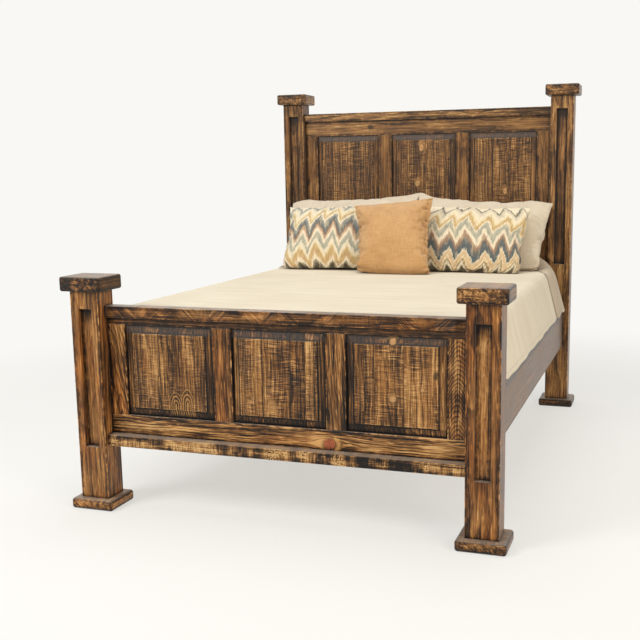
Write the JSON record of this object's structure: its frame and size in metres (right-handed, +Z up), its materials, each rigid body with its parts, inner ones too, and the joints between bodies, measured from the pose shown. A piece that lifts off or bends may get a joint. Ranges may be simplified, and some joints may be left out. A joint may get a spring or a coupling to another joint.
{
  "type": "bed",
  "caption": "Rustic stained-pine panel bed with capped square posts, raised-panel head and foot boards, side rails, slats, mattress set, coverlet and loose pillows.",
  "frame": {"origin": "on the floor, at the middle of the bed", "axes": "+Z up, -Y towards the foot of the bed, +X to the right seen from the foot"},
  "size_m": [1.74, 2.35, 1.765],
  "materials": {
    "stained_pine": "satin",
    "slat_pine": "matte",
    "hardware_steel": "satin",
    "box_spring_cover": "matte",
    "ticking": "matte",
    "coverlet_weave": "matte",
    "sham_linen": "matte",
    "zigzag_weave": "matte",
    "tan_weave": "matte"
  },
  "bodies": {
    "frame": {"cleat_screws": "hardware_steel", "foot_left_base": "stained_pine", "foot_left_cap": "stained_pine", "foot_left_inset": "stained_pine", "foot_left_post": "stained_pine", "foot_right_base": "stained_pine", "foot_right_cap": "stained_pine", "foot_right_inset": "stained_pine", "foot_right_post": "stained_pine", "footboard_bottom_rail": "stained_pine", "footboard_cap_rail": "stained_pine", "footboard_inner_stile_1": "stained_pine", "footboard_inner_stile_2": "stained_pine", "footboard_ledge": "stained_pine", "footboard_left_stile": "stained_pine", "footboard_panel_1": "stained_pine", "footboard_panel_2": "stained_pine", "footboard_panel_3": "stained_pine", "footboard_right_stile": "stained_pine", "footboard_top_rail": "stained_pine", "head_left_base": "stained_pine", "head_left_cap": "stained_pine", "head_left_inset": "stained_pine", "head_left_post": "stained_pine", "head_right_base": "stained_pine", "head_right_cap": "stained_pine", "head_right_inset": "stained_pine", "head_right_post": "stained_pine", "headboard_bottom_rail": "stained_pine", "headboard_cap_rail": "stained_pine", "headboard_inner_stile_1": "stained_pine", "headboard_inner_stile_2": "stained_pine", "headboard_left_stile": "stained_pine", "headboard_panel_1": "stained_pine", "headboard_panel_2": "stained_pine", "headboard_panel_3": "stained_pine", "headboard_right_stile": "stained_pine", "headboard_top_rail": "stained_pine", "left_cleat": "slat_pine", "left_side_rail": "stained_pine", "plate_screws": "hardware_steel", "post_slot_plates": "hardware_steel", "rail_hook_plates": "hardware_steel", "right_cleat": "slat_pine", "right_side_rail": "stained_pine", "slat_1": "slat_pine", "slat_2": "slat_pine", "slat_3": "slat_pine", "slat_4": "slat_pine", "slat_5": "slat_pine", "slat_screws": "hardware_steel"},
    "box_spring": {"box_spring": "box_spring_cover"},
    "mattress": {"mattress": "ticking", "coverlet": "coverlet_weave"},
    "left_sham": {"left_sham": "sham_linen"},
    "right_sham": {"right_sham": "sham_linen"},
    "left_zigzag_pillow": {"left_zigzag_pillow": "zigzag_weave"},
    "right_zigzag_pillow": {"right_zigzag_pillow": "zigzag_weave"},
    "tan_cushion": {"tan_cushion": "tan_weave"}
  },
  "joints": [
    {"name": "box_spring_lift", "type": "slide", "parent": "frame", "child": "box_spring", "axis": [0, 0, 1], "range_m": [0, 0.15]},
    {"name": "mattress_lift", "type": "slide", "parent": "box_spring", "child": "mattress", "axis": [0, 0, 1], "range_m": [0, 0.25]},
    {"name": "left_sham_slide", "type": "slide", "parent": "mattress", "child": "left_sham", "axis": [-0.9976, 0.0349, 0.0604], "range_m": [0, 0.3]},
    {"name": "right_sham_slide", "type": "slide", "parent": "mattress", "child": "right_sham", "axis": [0.9976, 0.0349, 0.0604], "range_m": [0, 0.3]},
    {"name": "left_zigzag_slide", "type": "slide", "parent": "mattress", "child": "left_zigzag_pillow", "axis": [-0.9976, 0.0349, 0.0604], "range_m": [0, 0.3]},
    {"name": "right_zigzag_slide", "type": "slide", "parent": "mattress", "child": "right_zigzag_pillow", "axis": [0.9976, 0.0349, 0.0604], "range_m": [0, 0.3]},
    {"name": "cushion_pull", "type": "slide", "parent": "mattress", "child": "tan_cushion", "axis": [0, -0.866, 0.5], "range_m": [0, 0.3]}
  ]
}
